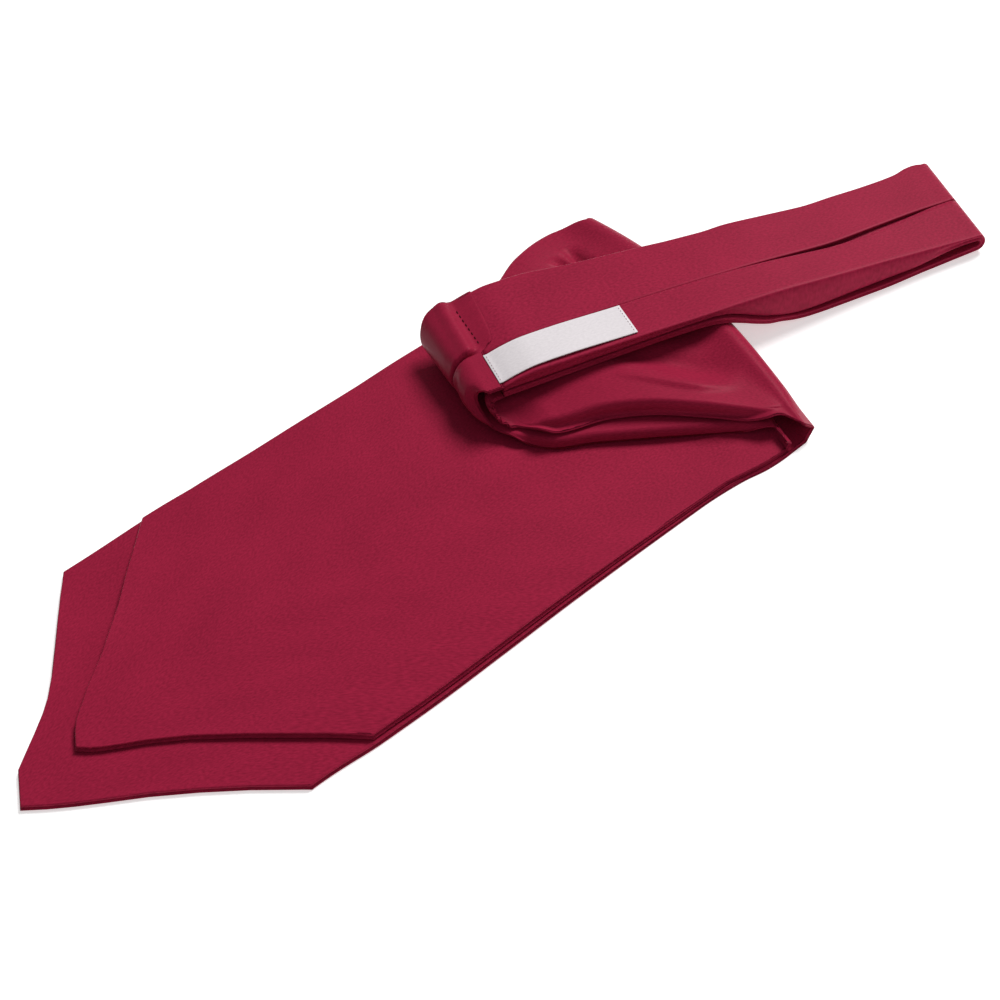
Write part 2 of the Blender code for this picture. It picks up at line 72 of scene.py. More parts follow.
# Cloth walls and the gap between two layers
PILE_WALL = 1.0 * MM
BAND_WALL = 1.0 * MM
GAP = 0.3 * MM
TAPER_START_X = 140.0 * MM
TAPER_END_X = 250.0 * MM

# The far side of each blade's point curls up a little, from this place in its list of points
LIFT_HEIGHT = 1.6 * MM
OVER_LIFT_HEIGHT = 1.4 * MM
LIFT_WIDTH = 17.0 * MM
LIFT_FROM = 8

# Neckband: its direction on the table, its seam with the blades and the roll of its long edges
BAND_ANGLE = radians(-18.3)
SEAM_S = 190.0 * MM
FOLD_S = 396.0 * MM
SLANT_FROM_S = 340.0 * MM
END_SLANT = 0.09
BAND_EDGE_RADIUS = 1.25 * MM
SLIT_E = 98.5 * MM
SLIT_SWING = 7.5 * MM
SLIT_SWING_FROM = 332.0 * MM
SAG_CLEARANCE = 0.8 * MM
SAG_FADE = 30.0 * MM
SAG_WIDTH = 24.0 * MM
NEAR_PINCH = 0.75

# Label on the near half of the neckband
LABEL_NEAR_E = 78.7 * MM
LABEL_WAVE = 0.5 * MM
LABEL_START = 189.5 * MM
LABEL_GAP = 0.3 * MM
LABEL_HEM = 0.9 * MM

# Right fold: how high the roll stands at its ends and in its middle, and how far it bows out
ROLL_END_HEIGHT = 9.2 * MM
ROLL_MIDDLE_HEIGHT = 14.4 * MM
OVER_ROLL_END_HEIGHT = 5.9 * MM
OVER_ROLL_SHARE = 0.32
ROLL_BOW = 6.0 * MM
ROLL_BOW_FROM = -0.1
SHARP_SHARE = 0.14
NEAR_BOW = 1.2 * MM
NEAR_BOW_WIDTH = 0.6

# Left wrap of the over blade and inner roll of the under blade
WRAP_CENTRE_S = 184.0 * MM
WRAP_TOP = 20.3 * MM
WRAP_NEAR_E = 76.5 * MM
WRAP_FAR_E = 134.0 * MM
WRAP_SLIT_E = 100.2 * MM
WRAP_SLIT_SLANT = 3.5 * MM
SLIT_DEPTH = 7.0 * MM
SLIT_WIDTH = 1.0 * MM
SLIT_LENGTH = 5.5 * MM
SLIT_WALL = 0.35
LAP_ROWS = 20
SEAM_LIFT = 0.55 * MM
LAP_EDGE = 0.15
LEFT_RIDGE = Ridge(185.2, 2.6, 1.7)
RIGHT_RIDGE = Ridge(199.0, 3.0, 0.1)
SQUARE = 0.35
INNER_TOP = 15.4 * MM
INNER_CENTRE_S = 186.5 * MM
INNER_NEAR_E = 77.0 * MM
INNER_NEAR_SHARE = 0.06
INNER_BULGE = 1.5 * MM
INNER_PUCKER = 0.6 * MM
PUCKERS = 9.0

# The under blade's near edge rolls down onto the over blade's return by this share of its own. The
# over blade's edge hangs down and stops this far above the flat stretch.
TUCK_END = 0.05
EDGE_CLEARANCE = 1.0 * MM
HEM_GAP = 0.4 * MM
LEAST_COSINE = -0.42

# The under blade's return sinks at its near left corner, where it rolls up into the neckband's seam
DIP_DEPTH = 3.4 * MM
DIP_REACH = 13.0 * MM

# Shares of the flat stretch over which its rows leave the point and meet the roll
POINT_SHARE = 0.12
ROLL_SHARE = 0.15
ROW_SPREAD = 1.25

# Shares of a return over which it leaves the right roll, its near edge opens and closes and its far
# edge stops sinking
LEAVE_SHARE = 0.08
OPEN_FROM = 0.005
OPEN_SHARE = 0.165
RIDGE_POWER = 8
CLOSE_SHARE = 0.16
DROOP_FROM = 0.4
DROOP_SHARE = 0.4
DROOP_ACROSS = 0.28
UNDER_DROOP = 4.3 * MM
OVER_DROOP = 1.9 * MM

# Columns of points across a blade, and rows along each of its stretches
EDGE_COLUMNS = 20
TOP_COLUMNS = 104
FLAT_ROWS = 110
ROLL_ROWS = 20
TUCK_ROWS = 5
RETURN_ROWS = 70
WRAP_ROWS = 40
INNER_ROWS = 24

# Columns round the neckband's tube: in the near flap, round each long edge, and in the far parts
BAND_NEAR_COLUMNS = 12
BAND_ROUND_COLUMNS = 13
BAND_FAR_COLUMNS = 22
BAND_ROW_STEP = 2.0 * MM
BAND_END_ROWS = 16
SLOPE_STEP = 5.0 * MM

# A cut edge: cuts round it, its roundness and the groove between its two plies
RIM_CUTS = 7
RIM_ROUND = 0.55 * MM
RIM_GROOVE = 1.6 * MM
RIM_LEDGE = 0.45 * MM

UNDER_POINT = [
    Point(48.8, -72.2),
    Point(34.0, -57.7),
    Point(21.2, -46.3),
    Point(7.9, -35.5),
    Point(-3.1, -27.6),
    Point(-12.6, -20.6),
    Point(-19.6, -15.0),
    Point(-26.6, -8.8),
    Point(-19.4, 5.4),
    Point(-13.7, 10.1),
    Point(-7.6, 15.0),
    Point(-1.0, 20.6),
    Point(3.8, 25.4),
    Point(10.8, 34.2),
    Point(18.8, 45.6),
    Point(25.9, 56.0),
    Point(32.2, 65.1),
    Point(36.6, 71.0),
    Point(39.6, 75.3),
]
OVER_POINT = [
    Point(75.0, -72.2),
    Point(65.0, -61.2),
    Point(45.4, -41.4),
    Point(30.4, -27.2),
    Point(18.4, -17.9),
    Point(12.4, -14.0),
    Point(6.8, -10.1),
    Point(2.9, -6.9),
    Point(-0.5, -3.0),
    Point(2.9, 3.2),
    Point(5.8, 7.3),
    Point(16.3, 16.9),
    Point(27.8, 26.2),
    Point(44.0, 41.7),
    Point(54.6, 53.3),
    Point(75.0, 74.4),
]
UNDER_FOLD = [Point(274.5, -75.0), Point(302.5, 79.5)]
OVER_FOLD = [Point(266.0, -74.0), Point(299.5, 75.5)]

# How far the long edges of the flat stretch lie from its middle line
UNDER_EDGES = [
    Edge(48.0, -72.2, 75.4),
    Edge(78.0, -73.7, 76.0),
    Edge(98.0, -73.9, 76.6),
    Edge(130.0, -73.1, 76.0),
    Edge(165.0, -72.0, 75.9),
    Edge(200.0, -71.5, 76.2),
    Edge(225.0, -71.4, 76.8),
    Edge(245.0, -72.8, 77.8),
    Edge(256.0, -75.0, 78.6),
    Edge(267.0, -76.4, 79.0),
    Edge(303.0, -76.4, 79.5),
]
OVER_EDGES = [
    Edge(75.0, -72.2, 74.4),
    Edge(100.0, -72.6, 73.6),
    Edge(130.0, -72.0, 73.2),
    Edge(165.0, -71.0, 73.2),
    Edge(200.0, -70.4, 74.6),
    Edge(235.0, -70.4, 75.0),
    Edge(250.0, -71.6, 75.2),
    Edge(259.0, -73.0, 75.4),
    Edge(270.0, -74.2, 75.5),
    Edge(303.0, -74.2, 75.5),
]

# One row for each station of a return, from the right fold (along 0) to the left end (along 1)
UNDER_RETURN = [
    Return(0.00, 274.5, -75.0, 302.5, 79.5, 9.2),
    Return(0.04, 273.1, -65.6, 297.0, 83.0, 10.6),
    Return(0.10, 267.3, -59.2, 287.0, 85.6, 11.4),
    Return(0.28, 254.0, -43.6, 266.0, 81.3, 14.0),
    Return(0.46, 240.6, -28.2, 246.4, 72.0, 15.0),
    Return(0.64, 227.2, -16.6, 232.2, 68.2, 14.4),
    Return(0.84, 211.4, -7.8, 222.0, 63.0, 12.9),
    Return(0.92, 205.8, -2.8, 217.0, 62.0, 12.5),
    Return(1.00, 201.4, 3.6, 213.0, 61.0, 12.4),
]
OVER_RETURN = [
    Return(0.00, 266.0, -74.0, 299.5, 75.5, 5.9),
    Return(0.04, 268.4, -64.6, 293.0, 77.6, 6.1),
    Return(0.10, 262.0, -56.8, 283.0, 79.5, 6.3),
    Return(0.28, 246.8, -44.6, 262.0, 77.5, 7.4),
    Return(0.46, 231.4, -31.6, 245.0, 70.0, 7.8),
    Return(0.64, 217.8, -19.8, 230.0, 64.0, 7.8),
    Return(0.80, 206.0, -10.8, 219.5, 62.3, 7.8),
    Return(0.90, 200.4, -1.4, 213.0, 62.0, 7.8),
    Return(1.00, 196.0, 8.0, 209.0, 62.0, 7.8),
]

# The near edges of the returns: the radius they roll down by, the radius they flare out by, and the
# flat tail beyond
UNDER_HEM = Hem(2.9, 1.3, 1.8)
OVER_HEM = Hem(3.0, 0.0, 1.0)

# The wrap round the left end, from its near edge (across 0) to its far edge (across 1): how far it
# stands out, how far its side is pulled towards the far side, and how far it laps over the neckband
WRAP = [
    Wrap(0.00, 3.4, 8.5, 0.3),
    Wrap(0.06, 4.8, 7.0, 0.3),
    Wrap(0.16, 6.4, 3.5, 0.3),
    Wrap(0.30, 6.6, 0.5, 0.3),
    Wrap(0.40, 5.8, 0.0, 0.6),
    Wrap(0.46, 5.8, 0.0, 5.4),
    Wrap(0.60, 6.4, 0.0, 7.0),
    Wrap(1.00, 6.8, 0.0, 8.4),
]

# Soft troughs (height below 0) and ridges of the upper return: the line each runs along, and its width
# on the left and on the right of that line
UNDER_CREASES = [
    Crease(
        1.4, 7.0, 1.9,
        ((242.0, -6.0), (247.0, -15.0), (254.0, -27.5), (260.0, -36.0), (266.0, -40.4), (273.0, -43.2)),
    ),
    Crease(0.8, 3.2, 3.2, ((286.0, -38.0), (282.4, -47.5), (278.0, -55.6), (273.9, -62.8), (270.0, -67.0))),
    Crease(-3.2, 7.0, 7.0, ((248.0, 12.0), (259.0, -8.0), (268.0, -24.0), (275.0, -38.0))),
    Crease(-2.4, 2.2, 2.2, ((273.3, 69.6), (276.3, 60.6), (272.3, 47.6))),
    Crease(-3.8, 2.4, 3.0, ((285.5, 73.0), (282.5, 61.0), (283.5, 49.0))),
    Crease(0.6, 1.8, 1.8, ((279.0, 72.0), (278.7, 62.0), (277.2, 50.0))),
]

# Broad, shallow swells of the flat panels: centre, half lengths, height and direction in degrees
UNDER_SWELLS = [
    Swell(20.0, -20.0, 30.0, 14.0, 0.35, -35.0),
    Swell(30.0, 45.0, 26.0, 12.0, -0.3, 50.0),
]
OVER_SWELLS = [
    Swell(95.0, 40.0, 46.0, 15.0, -0.45, 14.0),
    Swell(70.0, 5.0, 40.0, 16.0, 0.4, -30.0),
    Swell(150.0, -30.0, 60.0, 18.0, 0.35, 6.0),
    Swell(135.0, 30.0, 50.0, 14.0, -0.35, -12.0),
    Swell(205.0, -10.0, 30.0, 20.0, -0.3, 80.0),
]

# One row for each station of the neckband, from the lower layer's seam out to its folded end
LOWER_BAND = [
    BandRow(190.0, 15.4, 76.5, 130.5, 0.4),
    BandRow(225.0, 15.3, 76.5, 130.5, 0.4),
    BandRow(250.0, 15.2, 76.5, 129.5, 0.4),
    BandRow(268.0, 15.1, 76.0, 128.5, 0.4),
    BandRow(276.0, 14.8, 75.5, 128.0, 0.4),
    BandRow(282.0, 13.6, 75.0, 128.0, 0.4),
    BandRow(288.0, 11.2, 74.8, 128.0, 0.4),
    BandRow(294.0, 8.1, 75.0, 128.0, 0.4),
    BandRow(300.0, 5.2, 75.6, 128.0, 0.4),
    BandRow(306.0, 3.0, 76.8, 128.0, 0.4),
    BandRow(312.0, 1.3, 77.0, 128.0, 0.4),
    BandRow(319.0, 0.3, 77.2, 128.0, 0.5),
    BandRow(328.0, 0.0, 77.3, 128.0, 0.6),
    BandRow(350.0, 0.0, 77.5, 129.5, 0.8),
    BandRow(375.0, 0.0, 79.0, 132.5, 0.8),
    BandRow(387.0, 0.3, 79.3, 135.0, 0.8),
    BandRow(396.0, 1.0, 79.0, 136.0, 0.8),
]
UPPER_BAND = [
    BandRow(396.0, 8.4, 79.0, 133.4, 0.3),
    BandRow(393.0, 8.5, 79.1, 134.4, 0.4),
    BandRow(389.0, 8.8, 79.2, 133.9, 0.5),
    BandRow(383.0, 9.2, 79.3, 131.8, 1.2),
    BandRow(368.0, 10.6, 79.1, 129.8, 2.4),
    BandRow(354.0, 12.2, 78.8, 128.6, 3.0),
    BandRow(339.0, 13.9, 78.3, 127.2, 2.4),
    BandRow(322.0, 16.1, 77.6, 127.4, 1.4),
    BandRow(306.0, 18.1, 77.1, 127.6, 0.5),
    BandRow(295.0, 19.1, 76.7, 126.8, 0.1),
    BandRow(282.0, 20.1, 76.5, 127.2, 0.04),
    BandRow(269.0, 20.8, 76.3, 128.5, 0.04),
    BandRow(240.0, 22.1, 76.3, 131.5, 0.04),
    BandRow(216.0, 23.0, 76.3, 135.0, 0.04),
    BandRow(205.0, 23.3, 76.3, 135.0, 0.04),
    BandRow(197.0, 22.4, 76.4, 134.6, 0.04),
    BandRow(190.0, 20.7, 76.5, 134.0, 0.04),
]


def smooth(value):
    """A rise from 0 to 1 that starts and ends level."""
    value = min(max(value, 0.0), 1.0)
    return value * value * (3.0 - 2.0 * value)


def spaced(start, end, count):
    """Evenly spaced places from a start, stopping one short of the end."""
    return [start + (end - start) * i / count for i in range(count)]


def rounded(places, values):
    """Slopes of a smooth line through a table's values, level where it turns back."""
    steps = np.diff(places)
    rises = np.diff(values) / steps
    slopes = np.zeros(len(places))
    slopes[0], slopes[-1] = rises[0], rises[-1]
    for i in range(1, len(places) - 1):
        if rises[i - 1] * rises[i] > 0.0:
            one = 2.0 * steps[i] + steps[i - 1]
            two = steps[i] + 2.0 * steps[i - 1]
            slopes[i] = (one + two) / (one / rises[i - 1] + two / rises[i])
    return slopes


CURVES = {}


def along_rows(rows, at, name, place):
    """A named column of a table, read on a smooth line through its rows, in metres."""
    key = (id(rows), at, name)
    if key not in CURVES:
        ordered = sorted(rows, key=lambda row: getattr(row, at))
        places = np.array([getattr(row, at) for row in ordered], float)
        values = np.array([getattr(row, name) for row in ordered], float)
        CURVES[key] = (places, values, rounded(places, values))
    places, values, slopes = CURVES[key]
    if place <= places[0]:
        return float(values[0]) * MM
    if place >= places[-1]:
        return float(values[-1]) * MM
    i = int(np.searchsorted(places, place) - 1)
    step = places[i + 1] - places[i]
    t = (place - places[i]) / step
    level = values[i] * (1.0 + 2.0 * t) * (1.0 - t) ** 2 + values[i + 1] * t * t * (3.0 - 2.0 * t)
    lean = step * t * (1.0 - t) * (slopes[i] * (1.0 - t) - slopes[i + 1] * t)
    return float(level + lean) * MM


def settings():
    """The sizes and colours in the sidebar."""
    return bpy.context.scene.cravat


def wall_at(x):
    """The blades' wall: full at the points, pressed thin from the right fold on."""
    rise = smooth((x - TAPER_START_X) / (TAPER_END_X - TAPER_START_X))
    full = settings().blade_wall
    return full + (PILE_WALL - full) * rise


def edge_point(hem, turn, length):
    """How far out and how far down a rolled edge is, at a length of cloth from its ridge."""
    radius, back = hem.radius * MM, hem.back * MM
    down, flare = radius * turn, back * turn
    if length <= down:
        bend = length / radius
        return radius * sin(bend), radius * (1.0 - cos(bend))
    if back and length <= down + flare:
        bend = turn - (length - down) / back
        out = radius * sin(turn) + back * (sin(turn) - sin(bend))
        return out, radius * (1.0 - cos(turn)) + back * (cos(bend) - cos(turn))
    rest = length - down - flare
    if back:
        return (radius + back) * sin(turn) + rest, (radius + back) * (1.0 - cos(turn))
    return radius * sin(turn) + rest * cos(turn), radius * (1.0 - cos(turn)) + rest * sin(turn)


def edge_turn(hem, drop):
    """The angle by which an edge rolls down to come lower by a drop."""
    if drop <= 0.0:
        return 0.0
    return acos(max(LEAST_COSINE, 1.0 - drop / ((hem.radius + hem.back) * MM)))


def across_places(width, hem, turn, opened):
    """Every column of a station: its place from the near edge and its depth below the top skin."""
    whole = (hem.radius + hem.back) * MM * pi / 2.0 + hem.tail * MM
    ridge = hem.radius * MM * sin(turn)
    start = ridge + (whole - ridge) * (1.0 - opened) ** RIDGE_POWER
    length = start + (whole - ridge) * opened
    places = []
    for i in range(EDGE_COLUMNS):
        out, depth = edge_point(hem, turn, length * (1.0 - i / EDGE_COLUMNS))
        places.append((start - out, depth))
    for i in range(TOP_COLUMNS):
        places.append((start + (width - start) * i / (TOP_COLUMNS - 1), 0.0))
    return places


def fold_height(across):
    """The top skin of the right roll, pinched at its two ends."""
    return ROLL_END_HEIGHT + (ROLL_MIDDLE_HEIGHT - ROLL_END_HEIGHT) * sin(pi * min(max(across, 0), 1))


def roll_bow(across):
    """How far the right roll bends away from a straight line between its ends."""
    across = min(max(across, 0.0), 1.0)
    near_bow = NEAR_BOW * sin(pi * min(across / NEAR_BOW_WIDTH, 1.0))
    return ROLL_BOW * sin(pi * across) * (across - ROLL_BOW_FROM) + near_bow


def over_height(height):
    """The over blade's top skin under the under blade's, in the right roll."""
    return OVER_ROLL_END_HEIGHT + (height - ROLL_END_HEIGHT) * OVER_ROLL_SHARE


class Blade:
    """A pointed blade: flat stretch, right roll and return, as a grid of stations and columns."""

    def __init__(self, point, edges, fold, rows, hem, creases, over):
        self.point = [(p.x * MM, p.y * MM) for p in point]
        self.edges = edges
        self.fold = [(p.x * MM, p.y * MM) for p in fold]
        self.rows = rows
        self.hem = hem
        self.creases = creases
        self.over = over

    def floor_at(self, x):
        """The lower skin of the flat stretch."""
        return wall_at(x) + GAP if self.over else 0.0

    def top_of_roll(self, across):
        height = fold_height(across)
        return over_height(height) if self.over else height

    def point_edge(self, across):
        """A place on the pointed end, by the fraction of the width from the near shoulder."""
        near, far = self.point[0][1], self.point[-1][1]
        y = near + (far - near) * across
        ys = [p[1] for p in self.point]
        xs = [p[0] for p in self.point]
        return float(np.interp(y, ys, xs)), y

    def fold_edge(self, across):
        """A place on the axis of the right roll."""
        (near_x, near_y), (far_x, far_y) = self.fold
        bow = roll_bow(across)
        return near_x + (far_x - near_x) * across + bow, near_y + (far_y - near_y) * across

    def flat_columns(self):
        """Fractions of the width, with a column on each corner of the point."""
        count = EDGE_COLUMNS + TOP_COLUMNS
        fractions = [i / (count - 1) for i in range(count)]
        near, far = self.point[0][1], self.point[-1][1]
        for corner in self.point[1:-1]:
            place = (corner[1] - near) / (far - near)
            nearest = min(range(count), key=lambda i: abs(fractions[i] - place))
            fractions[nearest] = place
        return fractions

    def roll_columns(self):
        """Fractions of the width at the right roll, where the near edge is still flat."""
        (near_x, near_y), (far_x, far_y) = self.fold
        width = ((far_x - near_x) ** 2 + (far_y - near_y) ** 2) ** 0.5
        return [place / width for place, _ in across_places(width, self.hem, 0.0, 0.0)]

    def flat_station(self, share):
        """Lower skin of the flat stretch, from the point (0) to the roll (1)."""
        points = []
        for fraction, rolled_fraction in zip(self.flat_columns(), self.roll_columns()):
            start_x, start_y = self.point_edge(fraction)
            end_x, end_y = self.fold_edge(rolled_fraction)
            across = fraction + (rolled_fraction - fraction) * smooth(share)
            x = start_x + (end_x - start_x) * share
            near = along_rows(self.edges, "x", "near", x / MM)
            far = along_rows(self.edges, "x", "far", x / MM)
            y = start_y + (near + (far - near) * across - start_y) * smooth(share / POINT_SHARE)
            y += (end_y - y) * smooth((share - 1.0 + ROLL_SHARE) / ROLL_SHARE)
            points.append((x, y, self.floor_at(x) + self.lift(x, y)))
        return points

    def lift(self, x, y):
        """The far side of a blade's point stands a little off what lies below it."""
        height = OVER_LIFT_HEIGHT if self.over else LIFT_HEIGHT
        (tip_x, tip_y), (end_x, end_y) = self.point[LIFT_FROM], self.point[-1]
        length = ((end_x - tip_x) ** 2 + (end_y - tip_y) ** 2) ** 0.5
        along = ((x - tip_x) * (end_x - tip_x) + (y - tip_y) * (end_y - tip_y)) / length
        inside = ((x - tip_x) * (end_y - tip_y) - (y - tip_y) * (end_x - tip_x)) / length
        if not 0.0 < along < length:
            return 0.0
        fade = max(0.0, 1.0 - inside / LIFT_WIDTH)
        return height * sin(pi * along / length) ** 2 * fade * fade

    def roll_station(self, turn):
        """Outer skin of the right roll at an angle from 0 (underneath) to pi (on top)."""
        points = []
        for across in self.roll_columns():
            x, y = self.fold_edge(across)
            low = self.floor_at(x)
            radius = (self.top_of_roll(across) - low) / 2.0
            sharp = smooth(1.0 - max(across, 0.0) / SHARP_SHARE)
            out = sin(turn) * (1.0 - sharp) + (1.0 - abs(1.0 - 2.0 * turn / pi)) * sharp
            up = (1.0 - cos(turn)) * (1.0 - sharp) + 2.0 * turn / pi * sharp
            points.append((x + radius * out, y, low + radius * up))
        return points

    def return_station(self, along):
        """Top skin of the return, from the right roll (0) to the left end (1)."""
        ends = ("near_x", "near_y", "far_x", "far_y")
        near_x, near_y, far_x, far_y = (along_rows(self.rows, "along", name, along) for name in ends)
        level = along_rows(self.rows, "along", "height", along)
        width = ((far_x - near_x) ** 2 + (far_y - near_y) ** 2) ** 0.5
        leave = smooth(along / LEAVE_SHARE)
        opened = smooth((along - OPEN_FROM) / OPEN_SHARE) * smooth((1.0 - along) / CLOSE_SHARE)
        turn = edge_turn(self.hem, self.edge_drop(along, near_x, level)) * opened
        points = []
        for place, depth in across_places(width, self.hem, turn, opened):
            across = place / width
            bow = roll_bow(across) * (1.0 - leave)
            droop = self.far_droop(along) * smooth((across - 1.0 + DROOP_ACROSS) / DROOP_ACROSS)
            height = self.top_of_roll(across) * (1.0 - leave) + (level - droop) * leave
            x = near_x + (far_x - near_x) * across + bow
            y = near_y + (far_y - near_y) * across
            if depth == 0.0:
                height += self.crease_height(x, y) * leave
            points.append((x, y, height - depth - self.dip(x, y, along)))
        return points

    def dip(self, x, y, along):
        """How far the under blade's return sinks towards its near left corner."""
        if self.over:
            return 0.0
        corner = self.rows[-1]
        away = ((x - corner.near_x * MM) ** 2 + (y - corner.near_y * MM) ** 2) ** 0.5
        return DIP_DEPTH * smooth(1.0 - away / DIP_REACH)

    def edge_drop(self, along, near_x, level):
        """How far the near edge hangs down to the layer below it."""
        if self.over:
            return level - self.floor_at(near_x) - 2.0 * wall_at(near_x) - EDGE_CLEARANCE
        below = along_rows(OVER_RETURN, "along", "height", along)
        return level - below - PILE_WALL - HEM_GAP

    def far_droop(self, along):
        """How far the return sinks at its far edge."""
        droop = OVER_DROOP if self.over else UNDER_DROOP
        return droop * (1.0 - smooth((along - DROOP_FROM) / DROOP_SHARE))

    def crease_height(self, x, y):
        """Soft troughs and ridges of the return, each fading out at the ends of its line."""
        total = 0.0
        for crease in self.creases:
            away, share = beside_line(crease.line, x / MM, y / MM)
            fade = sin(pi * min(max(share, 0.0), 1.0))
            width = crease.left if away > 0.0 else crease.right
            total += crease.height * MM * fade * exp(-((away / width) ** 2))
        return total


def beside_line(line, x, y):
    """A place's distance from a line of points, above 0 on its left, and how far along that line it is."""
    nearest, side, share = 1.0e9, 1.0, 0.0
    for i, ((x0, y0), (x1, y1)) in enumerate(zip(line, line[1:])):
        dx, dy = x1 - x0, y1 - y0
        t = min(max(((x - x0) * dx + (y - y0) * dy) / (dx * dx + dy * dy), 0.0), 1.0)
        away = ((x - x0 - t * dx) ** 2 + (y - y0 - t * dy) ** 2) ** 0.5
        if away < nearest:
            nearest, share = away, (i + t) / (len(line) - 1)
            side = 1.0 if dx * (y - y0) > dy * (x - x0) else -1.0
    return nearest * side, share


def band_point(s, e, z):
    """A place given along the neckband, across it and up, in plan coordinates."""
    middle = (WRAP_NEAR_E + WRAP_FAR_E) / 2.0
    s += END_SLANT * (e - middle) * smooth((s - SLANT_FROM_S) / (FOLD_S - SLANT_FROM_S))
    x = s * cos(BAND_ANGLE) - e * sin(BAND_ANGLE)
    y = s * sin(BAND_ANGLE) + e * cos(BAND_ANGLE)
    return x, y, z


def band_place(point):
    """Places along, across and up for a plan point, true short of where the folded end slants."""
    x, y, z = point
    s = x * cos(BAND_ANGLE) + y * sin(BAND_ANGLE)
    e = -x * sin(BAND_ANGLE) + y * cos(BAND_ANGLE)
    return s, e, z


def wrap_e(across):
    """A place across the top of the wrap, from its near edge (0) to its far edge (1)."""
    return WRAP_NEAR_E + (WRAP_FAR_E - WRAP_NEAR_E) * across


def wrap_groove(e, share):
    """Depth of the gap that parts the wrap in two, at a place across it and a share of its turn."""
    middle = WRAP_SLIT_E - WRAP_SLIT_SLANT * (1.0 - share)
    opened = smooth((share - 0.18) / 0.3) * (1.0 - 0.5 * smooth((share - 0.85) / 0.15))
    return SLIT_DEPTH * opened * exp(-(((e - middle) / SLIT_WIDTH) ** 4))


def ridge_height(ridge, s, wide):
    """Height of a soft ridge across the wrap's top, none on its near strip."""
    return ridge.height * MM * wide * exp(-(((s / MM - ridge.s) / ridge.width) ** 2))


def strip_share(across):
    """1 on the wrap's wide far strip, 0 on its near strip."""
    return smooth((along_rows(WRAP, "across", "lap", across) / MM - 0.6) / 4.0)


def lap_point(across, share):
    """A place on the wrap's top, from its left ridge (0) over the stitched valley to its soft edge (1)."""
    e = wrap_e(across)
    wide = strip_share(across)
    reach = SEAM_S - GAP + along_rows(WRAP, "across", "lap", across) - WRAP_CENTRE_S
    s = WRAP_CENTRE_S + reach * share
    rest = along_rows(UPPER_BAND, "s", "z", s / MM) + LAP_EDGE * MM
    climb = smooth((s - WRAP_CENTRE_S - MM) / (SEAM_S - WRAP_CENTRE_S - MM)) * wide
    level = WRAP_TOP * (1.0 - climb) + rest * climb
    level += ridge_height(LEFT_RIDGE, s, wide) + ridge_height(RIGHT_RIDGE, s, wide)
    level -= wrap_groove(e, 1.0) * (1.0 - smooth((s - WRAP_CENTRE_S) / SLIT_LENGTH))
    return band_point(s, e, level)


def wrap_stations(last):
    """Inner skin of the over blade's wrap round the pile's left end, up to its lap on the neckband."""
    places = [band_place(point) for point in last]
    top = places[-1][2]
    count = len(places)
    stations = []
    for step in range(1, WRAP_ROWS + 1):
        share = step / WRAP_ROWS
        turn = pi * share
        blend = smooth(share)
        points = []
        for i, (s, e, z) in enumerate(places):
            across = i / (count - 1)
            top_e = wrap_e(across)
            mid_e = e + (top_e - e) * blend + along_rows(WRAP, "across", "pull", across) * sin(turn)
            groove = wrap_groove(mid_e, share)
            reach = along_rows(WRAP, "across", "reach", across)
            reach += max(0.0, top - z) * (1.0 - smooth(2.0 * share))
            centre = s + (WRAP_CENTRE_S - s) * blend
            radius = (WRAP_TOP - z) / 2.0
            wide = strip_share(across)
            square = 1.0 - SQUARE * smooth((share - 0.5) / 0.2) * wide
            place_s = centre - reach * max(sin(turn), 0.0) ** square + groove * abs(sin(turn))
            place_z = z + radius * (1.0 - cos(turn)) + groove * cos(turn)
            place_z += ridge_height(LEFT_RIDGE, place_s, wide) * smooth((share - 0.6) / 0.4)
            points.append(band_point(place_s, mid_e, place_z))
        stations.append(points)
    for i in range(1, LAP_ROWS + 1):
        stations.append([lap_point(column / (count - 1), i / LAP_ROWS) for column in range(count)])
    return stations


def inner_stations(last):
    """Inner skin of the under blade's roll inside the wrap, up to its seam with the neckband."""
    places = [band_place(point) for point in last]
    count = len(places)
    stations = []
    for step in range(1, INNER_ROWS + 1):
        share = step / INNER_ROWS
        turn = pi * share
        blend = smooth(share)
        points = []
        for i, (s, e, z) in enumerate(places):
            near = exp(-(i / (count - 1) / INNER_NEAR_SHARE) ** 2)
            radius = (INNER_TOP - z) / 2.0
            reach = radius + INNER_BULGE * (1.0 - near) * smooth((radius / MM - 1.0) / 1.5)
            seam_e = e + (INNER_NEAR_E - places[0][1]) * (1.0 - i / (count - 1))
            pucker = INNER_PUCKER * near * sin(turn) * sin(PUCKERS * pi * share + share * share * 5.0)
            place_s = s + (INNER_CENTRE_S - s) * blend - reach * sin(turn) + pucker
            place_e = e + (seam_e - e) * blend + pucker
            points.append(band_point(place_s, place_e, z + radius * (1.0 - cos(turn))))
        stations.append(points)
    seam = [band_place(point) for point in stations[-1]]
    stations.append([band_point(SEAM_S - GAP, e, z) for s, e, z in seam])
    return stations


def blade_stations(blade):
    """All stations of a blade from its point to the left end of its return."""
    returned = spaced(0.0, TUCK_END, TUCK_ROWS) + spaced(TUCK_END, 1.0, RETURN_ROWS) + [1.0]
    stations = [blade.flat_station((i / FLAT_ROWS) ** ROW_SPREAD) for i in range(FLAT_ROWS)]
    stations += [blade.roll_station(turn) for turn in spaced(0.0, pi, ROLL_ROWS)]
    stations += [blade.return_station(along) for along in returned]
    return stations


def swell_height(swells, x, y):
    """Rise of the panel's top over its broad, shallow swells."""
    total = 0.0
    for swell in swells:
        turn = radians(swell.turn)
        dx, dy = x / MM - swell.x, y / MM - swell.y
        along = dx * cos(turn) + dy * sin(turn)
        across = dy * cos(turn) - dx * sin(turn)
        total += swell.height * MM * exp(-((along / swell.along) ** 2) - (across / swell.across) ** 2)
    return total


